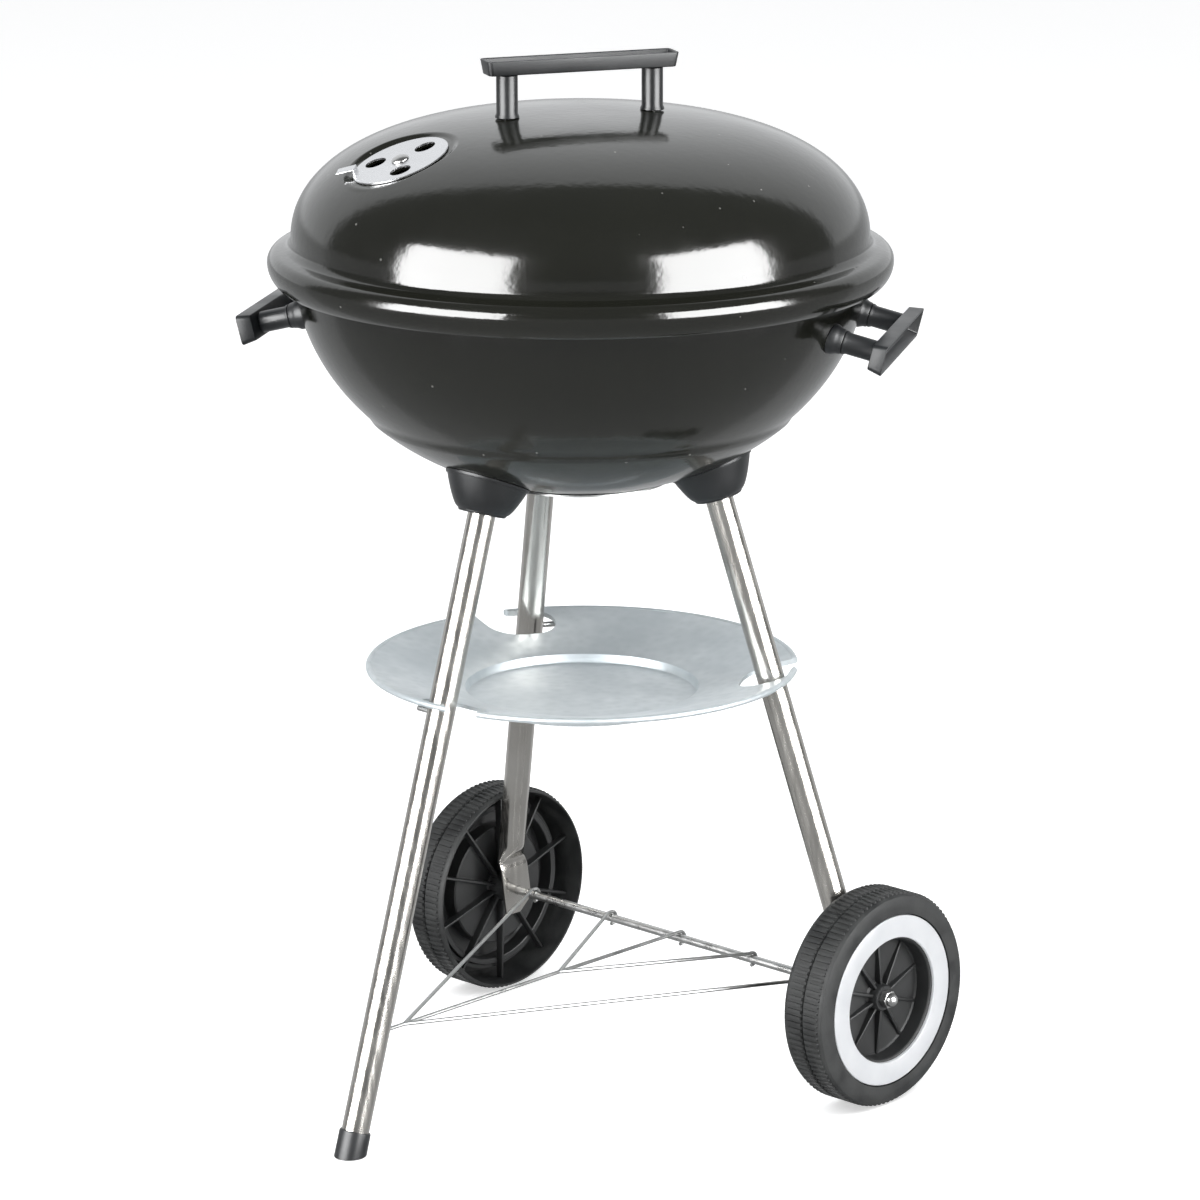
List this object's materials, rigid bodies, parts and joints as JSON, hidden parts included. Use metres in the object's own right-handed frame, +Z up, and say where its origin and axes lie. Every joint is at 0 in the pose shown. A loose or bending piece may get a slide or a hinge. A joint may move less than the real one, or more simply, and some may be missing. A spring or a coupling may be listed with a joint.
{
  "type": "kettle charcoal grill",
  "caption": "Kettle charcoal grill: glossy dark enamel bowl and lid with vents, black handles, bright tube legs, round ash tray, wire brace and spoked wheels.",
  "frame": {"origin": "on the ground, under the centre of the bounding box of the closed, assembled grill", "axes": "+Z up; +X along the wheel axle towards the right wheel; +Y from the plain front leg towards the axle"},
  "size_m": [0.4578, 0.4524, 0.7249],
  "materials": {
    "enamel": "glossy porcelain enamel, near black with a slight olive tint",
    "black_plastic": "satin black moulded plastic",
    "leg_tube": "polished, lightly drawn steel tube",
    "damper_steel": "satin sheet metal",
    "bright_steel": "zinc plated steel",
    "galvanised": "galvanised sheet with a faint mottled bloom",
    "white_plastic": "smooth white moulded plastic",
    "tyre_plastic": "dull charcoal grey hard tyre",
    "grid_wire": "bright plated wire"
  },
  "bodies": {
    "stand_and_bowl": {"bowl_shell": "enamel", "grid_bracket_1": "damper_steel", "grid_bracket_2": "damper_steel", "grid_bracket_3": "damper_steel", "side_handle_bar_right": "black_plastic", "side_handle_bar_left": "black_plastic", "side_handle_post_right_front": "black_plastic", "side_handle_post_right_back": "black_plastic", "side_handle_post_left_front": "black_plastic", "side_handle_post_left_back": "black_plastic", "side_handle_collar_right_front": "black_plastic", "side_handle_collar_right_back": "black_plastic", "side_handle_collar_left_front": "black_plastic", "side_handle_collar_left_back": "black_plastic", "leg_socket_front": "black_plastic", "leg_socket_right": "black_plastic", "leg_socket_left": "black_plastic", "foot_cap": "black_plastic", "bowl_damper_rivet": "bright_steel", "side_handle_screw_right_front": "bright_steel", "side_handle_screw_right_back": "bright_steel", "side_handle_screw_left_front": "bright_steel", "side_handle_screw_left_back": "bright_steel", "leg_screw_front": "bright_steel", "leg_screw_right": "bright_steel", "leg_screw_left": "bright_steel", "tray_pin_front": "bright_steel", "tray_pin_right": "bright_steel", "tray_pin_left": "bright_steel", "axle": "bright_steel", "axle_nut_right": "bright_steel", "axle_nut_left": "bright_steel", "axle_washer_right": "bright_steel", "axle_washer_left": "bright_steel", "leg_front": "leg_tube", "leg_right": "leg_tube", "leg_left": "leg_tube", "wire_brace": "grid_wire"},
    "ash_tray": {"ash_tray": "galvanised"},
    "bowl_damper": {"bowl_damper": "damper_steel"},
    "charcoal_grate": {"charcoal_grate": "grid_wire"},
    "cooking_grid": {"cooking_grid": "grid_wire"},
    "lid": {"lid_shell": "enamel", "lid_damper_rivet": "bright_steel", "lid_handle_bar": "black_plastic", "lid_handle_post_left": "black_plastic", "lid_handle_post_right": "black_plastic", "lid_handle_screw_left": "bright_steel", "lid_handle_screw_right": "bright_steel"},
    "lid_damper": {"lid_damper": "damper_steel"},
    "wheel_right": {"wheel_tyre_right": "tyre_plastic", "wheel_body_right": "black_plastic", "wheel_trim_ring_right": "white_plastic"},
    "wheel_left": {"wheel_tyre_left": "tyre_plastic", "wheel_body_left": "black_plastic", "wheel_trim_ring_left": "white_plastic"}
  },
  "joints": [
    {"name": "charcoal_grate_lift", "type": "slide", "parent": "stand_and_bowl", "child": "charcoal_grate", "axis": [0, 0, 1], "range_m": [0, 0.15]},
    {"name": "cooking_grid_lift", "type": "slide", "parent": "charcoal_grate", "child": "cooking_grid", "axis": [0, 0, 1], "range_m": [0, 0.12]},
    {"name": "lid_lift", "type": "slide", "parent": "cooking_grid", "child": "lid", "axis": [0, 0, 1], "range_m": [0, 0.25]},
    {"name": "lid_damper_turn", "type": "hinge", "parent": "lid", "child": "lid_damper", "pos_m": [-0.03982, -0.11704, 0.66406], "axis": [-0.1047, -0.3426, 0.9336], "range_deg": [0, 60]},
    {"name": "bowl_damper_turn", "type": "hinge", "parent": "stand_and_bowl", "child": "bowl_damper", "pos_m": [0, 0.01322, 0.43], "axis": [0, 0, 1], "range_deg": [0, 60]},
    {"name": "ash_tray_twist", "type": "hinge", "parent": "stand_and_bowl", "child": "ash_tray", "pos_m": [0, 0.01322, 0.3], "axis": [0, 0, 1], "range_deg": [-10, 0]},
    {"name": "wheel_right_spin", "type": "hinge", "parent": "stand_and_bowl", "child": "wheel_right", "pos_m": [0.1845, 0.11272, 0.076], "axis": [1, 0, 0], "continuous": true},
    {"name": "wheel_left_spin", "type": "hinge", "parent": "stand_and_bowl", "child": "wheel_left", "pos_m": [-0.1845, 0.11272, 0.076], "axis": [1, 0, 0], "continuous": true}
  ]
}
